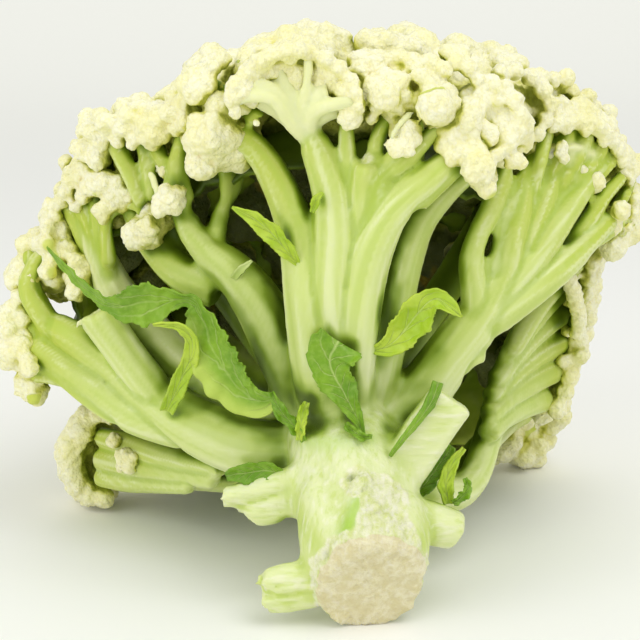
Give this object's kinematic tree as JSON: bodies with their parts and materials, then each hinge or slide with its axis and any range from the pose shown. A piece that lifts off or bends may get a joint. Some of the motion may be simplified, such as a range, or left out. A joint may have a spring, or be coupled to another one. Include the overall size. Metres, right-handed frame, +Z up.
{
  "type": "cauliflower",
  "caption": "Loose-curd cauliflower lying on its side: cut stump to the front, pale stalks that fan out and fork, cream curds on their tips, a few small leaves.",
  "frame": {"origin": "centre of the bounding box at the surface the head lies on", "axes": "+Z up, -Y the side the cut stump faces, +X to the right seen from the stump's side; the head's own axis points back and 35 degrees up"},
  "size_m": [0.255, 0.2281, 0.204],
  "materials": {
    "crown": "moist pale flesh, dry tan cut end",
    "stalk": "smooth, slightly waxy, pale green",
    "curd": "matte, finely granular, cream",
    "leaf_stalk": "smooth, pale green, cut ends",
    "leaf": "veined, puckered, fresh green"
  },
  "bodies": {
    "root": {"core": "crown", "stalk_left_low": "stalk", "stalk_left_middle": "stalk", "stalk_left_high": "stalk", "stalk_centre_left": "stalk", "stalk_centre": "stalk", "stalk_centre_slim": "stalk", "stalk_centre_right": "stalk", "stalk_centre_back": "stalk", "stalk_right": "stalk", "stalk_right_low": "stalk", "stalk_rest_right": "stalk", "stalk_back_left": "stalk", "stalk_apex": "stalk", "stalk_outer_1": "stalk", "stalk_outer_2": "stalk", "stalk_outer_3": "stalk", "stalk_outer_4": "stalk", "stalk_outer_5": "stalk", "stalk_outer_6": "stalk", "stalk_back_1": "stalk", "stalk_back_2": "stalk", "curd_ball": "curd", "curd_bell": "curd", "curd_centre": "curd", "curd_fan": "curd", "curd_left_top": "curd", "curd_left_shoulder": "curd", "curd_left_arm": "curd", "curd_left_edge": "curd", "curd_left_low": "curd", "curd_back_left": "curd", "curd_right_top": "curd", "curd_right_edge": "curd", "curd_back_right": "curd", "curd_rest_right": "curd", "curd_top_left": "curd", "curd_top_right": "curd", "curd_apex": "curd", "curd_outer_1": "curd", "curd_outer_2": "curd", "curd_outer_3": "curd", "curd_outer_4": "curd", "curd_outer_5": "curd", "curd_outer_6": "curd", "curd_back_1": "curd", "curd_back_2": "curd", "leaf_base_left": "leaf_stalk", "leaf_base_low": "leaf_stalk", "leaf_base_right": "leaf_stalk", "cut_leaf_stalk": "leaf_stalk", "leaf_left_large": "leaf", "bract_left": "leaf", "leaf_centre": "leaf", "leaf_right_curled": "leaf", "bract_upper": "leaf", "leaf_stump_left": "leaf", "leaf_right_low": "leaf", "leaf_stalk_edge": "leaf", "leaf_curly": "leaf"}
  },
  "joints": []
}
